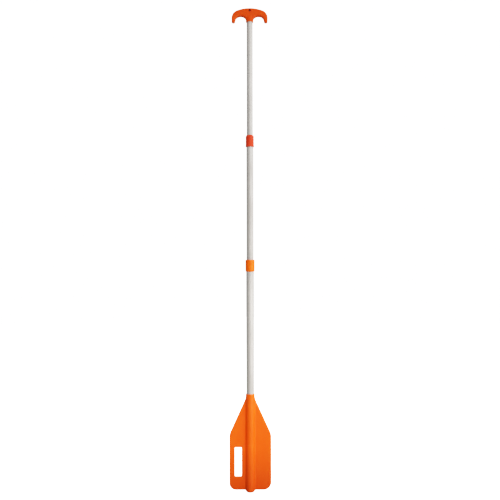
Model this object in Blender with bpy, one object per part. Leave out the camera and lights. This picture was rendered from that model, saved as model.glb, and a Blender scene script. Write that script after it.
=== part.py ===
"""Telescoping boat paddle: three sliding tubes, a double-hook T-handle and a moulded blade.

The paddle is fully extended and locked. +Z runs up the shaft's axis from the blade's tip to the
handle, +X runs across the blade, and the blade's front faces -Y. Each sliding joint has an eccentric
lock on the end of its inner tube: a guide ring that runs in the outer tube, and a cam ring on an
off-centre pin. A quarter turn brings the cam onto the axis and frees the tubes, and another quarter
turn locks them again.

Heights here are measured up from the blade's tip. The finished paddle hangs from the hole in its
handle, so the middle of that hole is the model's origin.
"""

import math
from collections import namedtuple

import bmesh
import bpy
from mathutils import Vector

MM = 0.001
GAP = 0.3 * MM
OVERCUT = 1 * MM
SIDES = 40
SMALL_SIDES = 20
SMOOTH_ANGLE = math.radians(35)

# Tubes
TUBE_WALL = 1.0 * MM
UPPER_TUBE_R = 11.1 * MM
MIDDLE_TUBE_R = 12.7 * MM
LOWER_TUBE_R = 14.3 * MM

# Handle, with heights above the blade's tip
HANDLE_TOP_Z = 1829 * MM
NECK_Z = 1778 * MM
HANDLE_HALF_WIDTH = 68 * MM
HANDLE_THICKNESS = 21 * MM
HANDLE_EDGE_R = 5 * MM
HANDLE_TOP_R = 138 * MM
SHOULDER_R = 29 * MM
HOOK_TIP_R = 6.7 * MM
HOOK_Z = 1782.4 * MM
NECK_R = 13 * MM
NECK_INSET = 0.4 * MM
NECK_STEP = 1 * MM
NECK_LENGTH = 13 * MM
SOCKET_DEPTH = 18 * MM
SPIGOT_LENGTH = 56 * MM
HANG_HOLE_R = 4 * MM
HANG_HOLE_Z = 1820 * MM
HANDLE_RIVET_Z = 1787 * MM

# Blade
BLADE_HALF_WIDTH = 79 * MM
BLADE_THICKNESS = 6 * MM
BLADE_EDGE_R = 2.5 * MM
BLADE_FOOT_Z = 6.5 * MM
SHOULDER_Z = 217 * MM
TAPER_TOP_Z = 353 * MM
BLADE_SHOULDER_R = 50 * MM
WINDOW_SIDE_CORNER_R = 25 * MM
PLAIN_SIDE_CORNER_R = 29 * MM
SPINE_R = 17 * MM
SPINE_TOP_Z = 371 * MM
SPINE_END_R = 6 * MM
SPINE_FLOOR = 8 * MM
SPINE_CORE_R = 12 * MM
TUBE_SEAT_Z = 180 * MM
MOUTH_CHAMFER = 0.8 * MM
WINDOW_X = -45.8 * MM
WINDOW_WIDTH = 27 * MM
WINDOW_FOOT_Z = 57 * MM
WINDOW_TOP_Z = 168 * MM
WINDOW_CORNER_R = 3.5 * MM
BLADE_RIVET_Z = 340 * MM
BUNG_LENGTH = 20 * MM
BUNG_ROUNDING = 2 * MM
BUNG_RECESS = 3 * MM

# Collars
LIP_THICKNESS = 3 * MM
BUSH_SPACE = 10 * MM
TUBE_CLEARANCE = 0.6 * MM
BAND_HEIGHT = 5 * MM
BEAD_DEPTH = 0.35 * MM
BEAD_HALF_HEIGHT = 2 * MM
BEAD_OFFSET = 7.5 * MM

# Locks
CAM_THROW = 0.707 * MM
CAM_CLEARANCE = 1.3 * MM
CAM_HEIGHT = 12 * MM
CAM_SLIT = 1.5 * MM
RING_CLEARANCE = 0.15 * MM
RING_LENGTH = 18 * MM
RING_SLIT = 2 * MM
RING_SEAT_DEPTH = 2.6 * MM
UPPER_FLANGE = 2 * MM
LOWER_FLANGE = 3 * MM
FLANGE_INSET = 0.1 * MM
PLUG_SPIGOT = 25 * MM
ECCENTRIC_PIN_R = 3.5 * MM
WASHER_THICKNESS = 1.5 * MM
WASHER_R = 6.5 * MM
SCREW_R = 1.5 * MM
SCREW_LENGTH = 11 * MM
SCREW_HEAD_R = 3 * MM
SCREW_HEAD_HEIGHT = 2.2 * MM
SCREW_SLOT = 0.8 * MM
CROSS_PIN_R = 1.25 * MM
CROSS_PIN_OFFSET = 12 * MM

# Rivets
RIVET_R = 1.6 * MM
RIVET_HEAD_R = 3.4 * MM
RIVET_HEAD_HEIGHT = 1.4 * MM
RIVET_BULB_R = 2.3 * MM
RIVET_BULB_LENGTH = 3.5 * MM
RIVET_BULB_ROUNDING = 0.8 * MM
RIVET_HOLE_START = 3 * MM
DRIVE_RIVET_LENGTH = 8 * MM

FRAME_ORIGIN = Vector((0, 0, HANG_HOLE_Z))

# One sliding joint: the tube inside, the tube outside, and the collar on the outer tube's mouth
Slide = namedtuple("Slide", "name inner_r outer_r collar_r foot_z top_z top_round foot_round band")
UPPER_SLIDE = Slide(
    name="upper",
    inner_r=UPPER_TUBE_R,
    outer_r=MIDDLE_TUBE_R,
    collar_r=15.1 * MM,
    foot_z=1305.5 * MM,
    top_z=1349.5 * MM,
    top_round=8 * MM,
    foot_round=1 * MM,
    band=0.5 * MM,
)
LOWER_SLIDE = Slide(
    name="lower",
    inner_r=MIDDLE_TUBE_R,
    outer_r=LOWER_TUBE_R,
    collar_r=17 * MM,
    foot_z=833.5 * MM,
    top_z=877.5 * MM,
    top_round=2.5 * MM,
    foot_round=5.5 * MM,
    band=0,
)


def bead_z(slide):
    return slide.foot_z + BEAD_OFFSET


def outer_tube_top(slide):
    return slide.top_z - LIP_THICKNESS - BUSH_SPACE


def ring_top(slide):
    return bead_z(slide) - BEAD_HALF_HEIGHT - GAP


def inner_tube_foot(slide):
    return ring_top(slide) + GAP + UPPER_FLANGE + GAP


def ring_foot(slide):
    return ring_top(slide) - RING_LENGTH


def cam_top(slide):
    return ring_foot(slide) - GAP - LOWER_FLANGE - GAP


def pin_foot(slide):
    return cam_top(slide) - CAM_HEIGHT - GAP


# Building tools


def clear_scene():
    for item in list(bpy.data.objects):
        bpy.data.objects.remove(item)


def make_material(name, colour, roughness, metallic=0.0):
    material = bpy.data.materials.new(name)
    material.use_nodes = True
    shader = material.node_tree.nodes["Principled BSDF"]
    shader.inputs["Base Color"].default_value = (*colour, 1.0)
    shader.inputs["Roughness"].default_value = roughness
    shader.inputs["Metallic"].default_value = metallic
    material.diffuse_color = (*colour, 1.0)
    return material


def handle_orange():
    return make_material("handle_orange", (0.75, 0.085, 0.008), 0.42)


def blade_orange():
    return make_material("blade_orange", (0.87, 0.13, 0.01), 0.4)


def collar_red():
    return make_material("collar_red", (0.64, 0.06, 0.02), 0.4)


def collar_orange():
    return make_material("collar_orange", (0.85, 0.16, 0.015), 0.38)


def anodised_aluminium():
    return make_material("anodised_aluminium", (0.78, 0.77, 0.75), 0.32, 1.0)


def bearing_plastic():
    return make_material("bearing_plastic", (0.82, 0.82, 0.8), 0.45)


def lock_plastic():
    return make_material("lock_plastic", (0.04, 0.04, 0.045), 0.5)


def foam():
    return make_material("foam", (0.1, 0.1, 0.11), 0.85)


def steel():
    return make_material("steel", (0.6, 0.6, 0.6), 0.3, 1.0)


def make_body(name, origin):
    body = bpy.data.objects.new(name, None)
    body.location = Vector(origin) - FRAME_ORIGIN
    bpy.context.scene.collection.objects.link(body)
    return body


def add_piece(name, mesh, material, body, origin):
    piece = bpy.data.objects.new(name, mesh)
    bpy.context.scene.collection.objects.link(piece)
    mesh.materials.append(material)
    mesh.shade_smooth()
    mesh.set_sharp_from_angle(angle=SMOOTH_ANGLE)
    piece.parent = body
    piece.location = Vector(origin) - FRAME_ORIGIN - body.location
    return piece


def add_cutter(name, mesh, body, origin):
    cutter = bpy.data.objects.new(name, mesh)
    bpy.context.scene.collection.objects.link(cutter)
    cutter.parent = body
    cutter.location = Vector(origin) - FRAME_ORIGIN - body.location
    cutter.hide_render = True
    cutter.display_type = "WIRE"
    return cutter


def add_boolean(piece, cutter, operation):
    modifier = piece.modifiers.new(f"{operation.lower()} {cutter.name}", "BOOLEAN")
    modifier.operation = operation
    modifier.object = cutter
    modifier.solver = "EXACT"


def add_bevel(piece, width, segments):
    modifier = piece.modifiers.new("edge rounding", "BEVEL")
    modifier.width = width
    modifier.segments = segments
    modifier.limit_method = "ANGLE"
    modifier.angle_limit = math.radians(60)


def arc(centre, radius, start, end, steps):
    """Points along an arc from one angle to another, in degrees, with both ends."""
    angles = [math.radians(start + (end - start) * step / steps) for step in range(steps + 1)]
    return [(centre[0] + radius * math.cos(a), centre[1] + radius * math.sin(a)) for a in angles]


def mesh_from(bm, name):
    bmesh.ops.recalc_face_normals(bm, faces=bm.faces)
    mesh = bpy.data.meshes.new(name)
    bm.to_mesh(mesh)
    bm.free()
    return mesh


def turned(name, profile, sides=SIDES):
    """Spin an outline of (radius, height) points about Z. It may start and end on the axis."""
    bm = bmesh.new()
    points = [bm.verts.new((radius, 0.0, height)) for radius, height in profile]
    starts_on_axis = profile[0][0] == 0
    edges = [bm.edges.new(pair) for pair in zip(points, points[1:])]
    if not starts_on_axis:
        edges.append(bm.edges.new((points[-1], points[0])))
    bmesh.ops.spin(bm, geom=points + edges, axis=(0, 0, 1), cent=(0, 0, 0), angle=math.tau,
                   steps=sides, use_merge=True)
    bmesh.ops.remove_doubles(bm, verts=bm.verts, dist=0.001 * MM)
    return mesh_from(bm, name)


def rod(name, radius, foot, top, sides=SIDES):
    return turned(name, [(0, foot), (radius, foot), (radius, top), (0, top)], sides)


def ring(name, inner_r, outer_r, foot, top, sides=SIDES):
    return turned(name, [(inner_r, foot), (outer_r, foot), (outer_r, top), (inner_r, top)], sides)


def plate(name, outline, thickness):
    """Extrude an outline of (x, z) points along Y, centred on y = 0."""
    bm = bmesh.new()
    face = bm.faces.new([bm.verts.new((x, -thickness / 2, z)) for x, z in outline])
    extruded = bmesh.ops.extrude_face_region(bm, geom=[face])["geom"]
    back = [item for item in extruded if isinstance(item, bmesh.types.BMVert)]
    bmesh.ops.translate(bm, verts=back, vec=(0, thickness, 0))
    return mesh_from(bm, name)


def block(name, low, high):
    outline = [(low[0], low[2]), (high[0], low[2]), (high[0], high[2]), (low[0], high[2])]
    mesh = plate(name, outline, high[1] - low[1])
    middle = (low[1] + high[1]) / 2
    for vertex in mesh.vertices:
        vertex.co.y += middle
    return mesh


def lay_along_y(piece):
    piece.rotation_euler = (-math.pi / 2, 0, 0)


def lay_along_x(piece):
    piece.rotation_euler = (0, math.pi / 2, 0)


def cut_cross_hole(piece, body, radius, reach, height):
    """Cut a hole along X, as long on each side of the axis as the reach."""
    mesh = rod(f"{piece.name} cross hole", radius, -reach, reach, SMALL_SIDES)
    cutter = add_cutter(mesh.name, mesh, body, (0, 0, height))
    lay_along_x(cutter)
    add_boolean(piece, cutter, "DIFFERENCE")


def cut_hole_along_y(piece, body, radius, start, end, height):
    mesh = rod(f"{piece.name} hole at {height:.3f}", radius, start, end, SMALL_SIDES)
    cutter = add_cutter(mesh.name, mesh, body, (0, 0, height))
    lay_along_y(cutter)
    add_boolean(piece, cutter, "DIFFERENCE")


# Handle


def handle_half_outline():
    """The right half of the handle's outline, from the top of the crown round to the neck."""
    crown_centre = HANDLE_TOP_Z - HANDLE_TOP_R
    shoulder_x = HANDLE_HALF_WIDTH - SHOULDER_R
    reach = HANDLE_TOP_R - SHOULDER_R
    shoulder_z = crown_centre + math.sqrt(reach ** 2 - shoulder_x ** 2)
    meeting = math.degrees(math.asin((shoulder_z - crown_centre) / reach))
    tip_x = HANDLE_HALF_WIDTH - HOOK_TIP_R
    neck_x = NECK_R - NECK_INSET
    arch_r = (tip_x - HOOK_TIP_R - neck_x) / 2
    arch_x = neck_x + arch_r
    crown = arc((0, crown_centre), HANDLE_TOP_R, 90, meeting, 8)
    shoulder = arc((shoulder_x, shoulder_z), SHOULDER_R, meeting, 0, 7)
    tip = arc((tip_x, HOOK_Z), HOOK_TIP_R, 0, -180, 8)
    arch = arc((arch_x, HOOK_Z), arch_r, 0, 180, 16)
    neck = [(neck_x, NECK_Z + NECK_STEP)]
    return crown + shoulder[1:] + tip + arch[1:] + neck


def make_handle(body, material):
    right = handle_half_outline()
    left = [(-x, z) for x, z in reversed(right[1:])]
    mesh = plate("t_handle", right + left, HANDLE_THICKNESS)
    handle = add_piece("t_handle", mesh, material, body, (0, 0, 0))
    add_bevel(handle, HANDLE_EDGE_R, 3)
    dome = arc((0, NECK_Z + NECK_LENGTH), NECK_R, 0, 90, 6)
    boss_profile = [(0, NECK_Z), (NECK_R, NECK_Z)] + dome[:-1] + [(0, dome[-1][1])]
    boss = add_cutter("handle boss", turned("handle boss", boss_profile), body, (0, 0, 0))
    add_boolean(handle, boss, "UNION")
    socket_r = UPPER_TUBE_R + GAP
    socket_mesh = rod("handle socket", socket_r, NECK_Z - SOCKET_DEPTH, NECK_Z + SOCKET_DEPTH)
    add_boolean(handle, add_cutter("handle socket", socket_mesh, body, (0, 0, 0)), "DIFFERENCE")
    spigot_top = NECK_Z + SOCKET_DEPTH + OVERCUT
    spigot_r = UPPER_TUBE_R - TUBE_WALL - GAP
    spigot_mesh = rod("handle spigot", spigot_r, spigot_top - SPIGOT_LENGTH, spigot_top)
    add_boolean(handle, add_cutter("handle spigot", spigot_mesh, body, (0, 0, 0)), "UNION")
    cut_hole_along_y(handle, body, HANG_HOLE_R, -HANDLE_THICKNESS, HANDLE_THICKNESS, HANG_HOLE_Z)
    rivet_end = NECK_R - DRIVE_RIVET_LENGTH - OVERCUT
    cut_hole_along_y(handle, body, RIVET_R + GAP, rivet_end, NECK_R + OVERCUT, HANDLE_RIVET_Z)


def rivet_head():
    """A low dome's outline, from its rim to its top, with its underside at height 0."""
    dome = arc((0, 0), 1.0, 0, 90, 4)[:-1]
    points = [(RIVET_HEAD_R * x, RIVET_HEAD_HEIGHT * z) for x, z in dome]
    return points + [(0, RIVET_HEAD_HEIGHT)]


def make_handle_rivet(body, material):
    """A drive rivet through the handle's neck and the tube, ending inside the handle's spigot."""
    profile = [(0, -DRIVE_RIVET_LENGTH), (RIVET_R, -DRIVE_RIVET_LENGTH), (RIVET_R, 0)] + rivet_head()
    mesh = turned("handle_rivet", profile, SMALL_SIDES)
    rivet = add_piece("handle_rivet", mesh, material, body, (0, NECK_R + GAP, HANDLE_RIVET_Z))
    lay_along_y(rivet)


def make_blade_rivet(body, material):
    """A blind rivet through the blade's neck and the tube, with its bulb inside the tube."""
    grip = SPINE_R - LOWER_TUBE_R + TUBE_WALL + 2 * GAP
    bulb_foot = -grip - RIVET_BULB_LENGTH
    profile = [
        (0, bulb_foot),
        (RIVET_BULB_R - RIVET_BULB_ROUNDING, bulb_foot),
        (RIVET_BULB_R, bulb_foot + RIVET_BULB_ROUNDING),
        (RIVET_BULB_R, -grip - RIVET_BULB_ROUNDING),
        (RIVET_R, -grip),
        (RIVET_R, 0),
    ]
    mesh = turned("blade_rivet", profile + rivet_head(), SMALL_SIDES)
    rivet = add_piece("blade_rivet", mesh, material, body, (0, SPINE_R + GAP, BLADE_RIVET_Z))
    lay_along_y(rivet)


# Tubes


def bead_points(radius, height):
    """The rolled bead's points up a wall of the given radius."""
    steps = [-1.0, -0.5, 0.0, 0.5, 1.0]
    depths = [BEAD_DEPTH * (1 + math.cos(math.pi * step)) / 2 for step in steps]
    return [(radius - depth, height + BEAD_HALF_HEIGHT * step) for depth, step in zip(depths, steps)]


def make_tube(name, body, material, outer_r, foot, top, bead=None):
    inner_r = outer_r - TUBE_WALL
    outside = bead_points(outer_r, bead) if bead else []
    inside = bead_points(inner_r, bead)[::-1] if bead else []
    profile = [(outer_r, foot)] + outside
    profile += [(outer_r, top), (inner_r, top)] + inside + [(inner_r, foot)]
    return add_piece(name, turned(name, profile), material, body, (0, 0, 0))


def make_upper_tube(body, material):
    foot = inner_tube_foot(UPPER_SLIDE)
    top = NECK_Z + SOCKET_DEPTH - GAP
    tube = make_tube("upper_tube", body, material, UPPER_TUBE_R, foot, top)
    cut_cross_hole(tube, body, CROSS_PIN_R + GAP, UPPER_TUBE_R + OVERCUT, foot + CROSS_PIN_OFFSET)
    hole_start = UPPER_TUBE_R - RIVET_HOLE_START
    cut_hole_along_y(tube, body, RIVET_R + GAP, hole_start, UPPER_TUBE_R + OVERCUT, HANDLE_RIVET_Z)


def make_middle_tube(body, material):
    foot = inner_tube_foot(LOWER_SLIDE)
    top = outer_tube_top(UPPER_SLIDE)
    tube = make_tube("middle_tube", body, material, MIDDLE_TUBE_R, foot, top, bead_z(UPPER_SLIDE))
    cut_cross_hole(tube, body, CROSS_PIN_R + GAP, MIDDLE_TUBE_R + OVERCUT, foot + CROSS_PIN_OFFSET)


def make_lower_tube(body, material):
    top = outer_tube_top(LOWER_SLIDE)
    foot = TUBE_SEAT_Z + GAP
    tube = make_tube("lower_tube", body, material, LOWER_TUBE_R, foot, top, bead_z(LOWER_SLIDE))
    hole_start = LOWER_TUBE_R - RIVET_HOLE_START
    cut_hole_along_y(tube, body, RIVET_R + GAP, hole_start, LOWER_TUBE_R + OVERCUT, BLADE_RIVET_Z)


def make_lower_bung(body, material):
    radius = LOWER_TUBE_R - TUBE_WALL - GAP
    rounded = radius - BUNG_ROUNDING
    profile = [(0, 0), (rounded, 0), (radius, BUNG_ROUNDING), (radius, BUNG_LENGTH - BUNG_ROUNDING)]
    profile += [(rounded, BUNG_LENGTH), (0, BUNG_LENGTH)]
    origin = (0, 0, TUBE_SEAT_Z + BUNG_RECESS)
    add_piece("lower_tube_bung", turned("lower_tube_bung", profile), material, body, origin)


# Collars


def rounded_rim(outer_r, corner_r, hole_r, steps):
    """A quarter round from the hole's edge, at height 0, down to the side, as (radius, height)."""
    centre_r = outer_r - corner_r
    start = math.degrees(math.acos(min(1.0, max(0.0, (hole_r - centre_r) / corner_r))))
    rim = arc((centre_r, 0), corner_r, start, 0, steps)
    peak = rim[0][1]
    return [(radius, height - peak) for radius, height in rim]


def make_collar(slide, body, material):
    """A collar that snaps over the outer tube's mouth, with a lip that keeps the bush in."""
    name = f"{slide.name}_collar"
    hole_r = slide.inner_r + TUBE_CLEARANCE
    bore_r = slide.outer_r + GAP
    lip_z = slide.top_z - LIP_THICKNESS
    foot_rim = rounded_rim(slide.collar_r + slide.band, slide.foot_round, bore_r, 4)
    top_rim = rounded_rim(slide.collar_r, slide.top_round, hole_r, 4)
    bead = [(radius + GAP, height) for radius, height in bead_points(slide.outer_r, bead_z(slide))]
    profile = [(radius, slide.foot_z - height) for radius, height in foot_rim]
    if slide.band:
        band_top = slide.foot_z + BAND_HEIGHT
        profile += [(slide.collar_r + slide.band, band_top), (slide.collar_r, band_top)]
    profile += [(radius, slide.top_z + height) for radius, height in reversed(top_rim)]
    profile += [(hole_r, lip_z), (bore_r, lip_z)]
    profile += reversed(bead)
    profile.append((bore_r, slide.foot_z))
    add_piece(name, turned(name, profile), material, body, (0, 0, 0))


def make_collar_bush(slide, body, material):
    """A plain ring between the outer tube's end and the collar's lip, which the inner tube runs in."""
    name = f"{slide.name}_collar_bush"
    mesh = ring(name, slide.inner_r + GAP, slide.outer_r, 0, BUSH_SPACE - 2 * GAP)
    add_piece(name, mesh, material, body, (0, 0, outer_tube_top(slide) + GAP))


# Locks


def make_lock_plug(slide, body, material):
    """The plug in the inner tube's foot: spigot, guide ring seat, and the off-centre pin below."""
    name = f"{slide.name}_lock_plug"
    spigot_r = slide.inner_r - TUBE_WALL - GAP
    flange_r = slide.inner_r - FLANGE_INSET
    seat_r = slide.inner_r - RING_SEAT_DEPTH
    tube_foot = inner_tube_foot(slide)
    upper_seat = ring_top(slide) + GAP
    lower_seat = ring_foot(slide) - GAP
    profile = [
        (0, cam_top(slide) + GAP),
        (flange_r, cam_top(slide) + GAP),
        (flange_r, lower_seat),
        (seat_r, lower_seat),
        (seat_r, upper_seat),
        (flange_r, upper_seat),
        (flange_r, tube_foot - GAP),
        (spigot_r, tube_foot - GAP),
        (spigot_r, tube_foot + PLUG_SPIGOT),
        (0, tube_foot + PLUG_SPIGOT),
    ]
    plug = add_piece(name, turned(name, profile), material, body, (0, 0, 0))
    pin_name = f"{slide.name} eccentric pin"
    pin_mesh = rod(pin_name, ECCENTRIC_PIN_R, pin_foot(slide), lower_seat - OVERCUT, SMALL_SIDES)
    add_boolean(plug, add_cutter(pin_name, pin_mesh, body, (CAM_THROW, 0, 0)), "UNION")
    hole_name = f"{slide.name} screw hole"
    hole_top = pin_foot(slide) + SCREW_LENGTH
    hole_mesh = rod(hole_name, SCREW_R + GAP, pin_foot(slide) - OVERCUT, hole_top, SMALL_SIDES)
    add_boolean(plug, add_cutter(hole_name, hole_mesh, body, (CAM_THROW, 0, 0)), "DIFFERENCE")
    cut_cross_hole(plug, body, CROSS_PIN_R + GAP, slide.inner_r, tube_foot + CROSS_PIN_OFFSET)


def make_plug_pin(slide, body, material):
    """The cross pin that holds the lock plug in its tube, flush with the tube's outside."""
    name = f"{slide.name}_plug_pin"
    reach = slide.inner_r - GAP
    height = inner_tube_foot(slide) + CROSS_PIN_OFFSET
    mesh = rod(name, CROSS_PIN_R, -reach, reach, SMALL_SIDES)
    pin = add_piece(name, mesh, material, body, (0, 0, height))
    lay_along_x(pin)


def make_guide_ring(slide, body, material):
    """A split ring that turns on the plug and slides in the outer tube."""
    name = f"{slide.name}_guide_ring"
    inner_r = slide.inner_r - RING_SEAT_DEPTH + GAP
    outer_r = slide.outer_r - TUBE_WALL - RING_CLEARANCE
    origin = (0, 0, ring_foot(slide))
    guide = add_piece(name, ring(name, inner_r, outer_r, 0, RING_LENGTH), material, body, origin)
    low = (0, -RING_SLIT / 2, -OVERCUT)
    high = (outer_r + OVERCUT, RING_SLIT / 2, RING_LENGTH + OVERCUT)
    slit_name = f"{slide.name} ring slit"
    slit = add_cutter(slit_name, block(slit_name, low, high), body, origin)
    add_boolean(guide, slit, "DIFFERENCE")


def make_lock_cam(slide, body, material):
    """A split cam on the off-centre pin. Its own centre is off the pin by the same throw."""
    name = f"{slide.name}_lock_cam"
    cam_r = slide.outer_r - TUBE_WALL - CAM_CLEARANCE
    mesh = rod(name, cam_r, 0, CAM_HEIGHT)
    for vertex in mesh.vertices:
        vertex.co.y += CAM_THROW
    origin = (CAM_THROW, 0, cam_top(slide) - CAM_HEIGHT)
    cam = add_piece(name, mesh, material, body, origin)
    hole_name = f"{slide.name} cam hole"
    hole_mesh = rod(hole_name, ECCENTRIC_PIN_R + GAP, -OVERCUT, CAM_HEIGHT + OVERCUT, SMALL_SIDES)
    add_boolean(cam, add_cutter(hole_name, hole_mesh, body, origin), "DIFFERENCE")
    slit_name = f"{slide.name} cam slit"
    low = (-CAM_SLIT / 2, 0, -OVERCUT)
    high = (CAM_SLIT / 2, 2 * cam_r, CAM_HEIGHT + OVERCUT)
    add_boolean(cam, add_cutter(slit_name, block(slit_name, low, high), body, origin), "DIFFERENCE")


def make_cam_washer(slide, body, material):
    name = f"{slide.name}_cam_washer"
    mesh = ring(name, SCREW_R + GAP, WASHER_R, 0, WASHER_THICKNESS, SMALL_SIDES)
    height = pin_foot(slide) - GAP - WASHER_THICKNESS
    add_piece(name, mesh, material, body, (CAM_THROW, 0, height))


def make_cam_screw(slide, body, material):
    """A slotted screw up into the off-centre pin, with its head below the washer."""
    name = f"{slide.name}_cam_screw"
    head_top = pin_foot(slide) - 2 * GAP - WASHER_THICKNESS
    corner = 0.6 * MM
    profile = [
        (0, -SCREW_HEAD_HEIGHT),
        (SCREW_HEAD_R - corner, -SCREW_HEAD_HEIGHT),
        (SCREW_HEAD_R, -SCREW_HEAD_HEIGHT + corner),
        (SCREW_HEAD_R, 0),
        (SCREW_R, 0),
        (SCREW_R, SCREW_LENGTH),
        (0, SCREW_LENGTH),
    ]
    origin = (CAM_THROW, 0, head_top)
    screw = add_piece(name, turned(name, profile, SMALL_SIDES), material, body, origin)
    low = (-2 * SCREW_HEAD_R, -SCREW_SLOT / 2, -2 * SCREW_HEAD_HEIGHT)
    high = (2 * SCREW_HEAD_R, SCREW_SLOT / 2, -SCREW_HEAD_HEIGHT / 2)
    slot_name = f"{slide.name} screw slot"
    add_boolean(screw, add_cutter(slot_name, block(slot_name, low, high), body, origin), "DIFFERENCE")


# Blade


def blade_half_outline(corner_r):
    """One side of the blade's outline, from the middle of its foot up to the spine's top."""
    slope = (BLADE_HALF_WIDTH - SPINE_R) / (TAPER_TOP_Z - SHOULDER_Z)
    lean = math.degrees(math.atan(slope))
    shoulder_start = SHOULDER_Z - BLADE_SHOULDER_R * math.tan(math.radians(lean / 2))
    inside_x = SPINE_R / 2
    inside_z = TAPER_TOP_Z + (SPINE_R - inside_x) / slope
    corner = arc((BLADE_HALF_WIDTH - corner_r, BLADE_FOOT_Z + corner_r), corner_r, -90, 0, 8)
    shoulder = arc((BLADE_HALF_WIDTH - BLADE_SHOULDER_R, shoulder_start), BLADE_SHOULDER_R, 0, lean, 4)
    return corner + shoulder + [(inside_x, min(inside_z, SPINE_TOP_Z - OVERCUT))]


def window_outline():
    """The hand hold's outline, a rectangle with rounded corners."""
    half = WINDOW_WIDTH / 2 - WINDOW_CORNER_R
    centres = [
        (WINDOW_X + half, WINDOW_FOOT_Z + WINDOW_CORNER_R),
        (WINDOW_X + half, WINDOW_TOP_Z - WINDOW_CORNER_R),
        (WINDOW_X - half, WINDOW_TOP_Z - WINDOW_CORNER_R),
        (WINDOW_X - half, WINDOW_FOOT_Z + WINDOW_CORNER_R),
    ]
    points = []
    for turn, centre in enumerate(centres):
        points += arc(centre, WINDOW_CORNER_R, 90 * turn - 90, 90 * turn, 4)
    return points


def make_blade(body, material):
    """One moulding: a flat plate through a hollow spine, with the hand hold cut in one side."""
    right = blade_half_outline(PLAIN_SIDE_CORNER_R)
    left = [(-x, z) for x, z in reversed(blade_half_outline(WINDOW_SIDE_CORNER_R))]
    mesh = plate("blade", right + left, BLADE_THICKNESS)
    blade = add_piece("blade", mesh, material, body, (0, 0, 0))
    add_bevel(blade, BLADE_EDGE_R, 2)
    spine_end = arc((SPINE_R - SPINE_END_R, SPINE_END_R), SPINE_END_R, -90, 0, 4)
    mouth = [(SPINE_R, SPINE_TOP_Z - MOUTH_CHAMFER), (SPINE_R - MOUTH_CHAMFER, SPINE_TOP_Z)]
    spine_profile = [(0, 0)] + spine_end + mouth + [(0, SPINE_TOP_Z)]
    spine = add_cutter("blade spine", turned("blade spine", spine_profile), body, (0, 0, 0))
    add_boolean(blade, spine, "UNION")
    socket_r = LOWER_TUBE_R + GAP
    bore_profile = [
        (0, SPINE_FLOOR),
        (SPINE_CORE_R, SPINE_FLOOR),
        (SPINE_CORE_R, TUBE_SEAT_Z),
        (socket_r, TUBE_SEAT_Z),
        (socket_r, SPINE_TOP_Z + OVERCUT),
        (0, SPINE_TOP_Z + OVERCUT),
    ]
    bore = add_cutter("blade bore", turned("blade bore", bore_profile), body, (0, 0, 0))
    add_boolean(blade, bore, "DIFFERENCE")
    window_mesh = plate("blade window", window_outline(), 4 * BLADE_THICKNESS)
    add_boolean(blade, add_cutter("blade window", window_mesh, body, (0, 0, 0)), "DIFFERENCE")
    hole_start = LOWER_TUBE_R - RIVET_HOLE_START
    cut_hole_along_y(blade, body, RIVET_R + GAP, hole_start, SPINE_R + OVERCUT, BLADE_RIVET_Z)


def make_lock(slide, holder, guide, cam, plastic, cam_plastic, metal):
    make_lock_plug(slide, holder, cam_plastic)
    make_plug_pin(slide, holder, metal)
    make_cam_washer(slide, holder, metal)
    make_cam_screw(slide, holder, metal)
    make_guide_ring(slide, guide, plastic)
    make_lock_cam(slide, cam, cam_plastic)


def main():
    clear_scene()
    aluminium = anodised_aluminium()
    white_plastic = bearing_plastic()
    black_plastic = lock_plastic()
    metal = steel()
    grip = make_body("grip_section", (0, 0, HANG_HOLE_Z))
    upper_guide = make_body("upper_guide", (0, 0, ring_foot(UPPER_SLIDE)))
    upper_cam = make_body("upper_cam", (CAM_THROW, 0, cam_top(UPPER_SLIDE)))
    middle = make_body("middle_section", (0, 0, UPPER_SLIDE.foot_z))
    lower_guide = make_body("lower_guide", (0, 0, ring_foot(LOWER_SLIDE)))
    lower_cam = make_body("lower_cam", (CAM_THROW, 0, cam_top(LOWER_SLIDE)))
    blade_section = make_body("blade_section", (0, 0, LOWER_SLIDE.foot_z))
    make_handle(grip, handle_orange())
    make_handle_rivet(grip, metal)
    make_upper_tube(grip, aluminium)
    make_lock(UPPER_SLIDE, grip, upper_guide, upper_cam, white_plastic, black_plastic, metal)
    make_middle_tube(middle, aluminium)
    make_collar(UPPER_SLIDE, middle, collar_red())
    make_collar_bush(UPPER_SLIDE, middle, white_plastic)
    make_lock(LOWER_SLIDE, middle, lower_guide, lower_cam, white_plastic, black_plastic, metal)
    make_lower_tube(blade_section, aluminium)
    make_collar(LOWER_SLIDE, blade_section, collar_orange())
    make_collar_bush(LOWER_SLIDE, blade_section, white_plastic)
    make_lower_bung(blade_section, foam())
    make_blade(blade_section, blade_orange())
    make_blade_rivet(blade_section, metal)


main()
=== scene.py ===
"""The looks of the telescoping paddle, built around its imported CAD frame.

Fine meshes stand for the handle, the tubes, the collars, the blade and the rivets. The parts inside
the tubes stay as they are in the frame, with better materials. The handle and the blade are found as
the surface where a distance field is zero, so that their walls blend as a moulding's do. Everything
else is turned. Lengths are in metres, and the shaft's axis is the frame's Z axis.
"""

import math

import bpy
import numpy as np
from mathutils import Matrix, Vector


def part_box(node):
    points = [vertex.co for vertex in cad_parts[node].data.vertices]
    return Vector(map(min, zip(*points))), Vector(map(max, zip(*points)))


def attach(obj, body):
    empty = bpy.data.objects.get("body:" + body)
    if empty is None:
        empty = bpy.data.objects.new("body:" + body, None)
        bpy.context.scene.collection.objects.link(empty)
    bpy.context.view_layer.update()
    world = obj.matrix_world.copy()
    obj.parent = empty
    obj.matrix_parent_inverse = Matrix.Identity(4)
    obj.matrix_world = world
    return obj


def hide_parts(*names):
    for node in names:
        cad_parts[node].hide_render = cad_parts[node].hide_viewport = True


MM = 0.001

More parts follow.
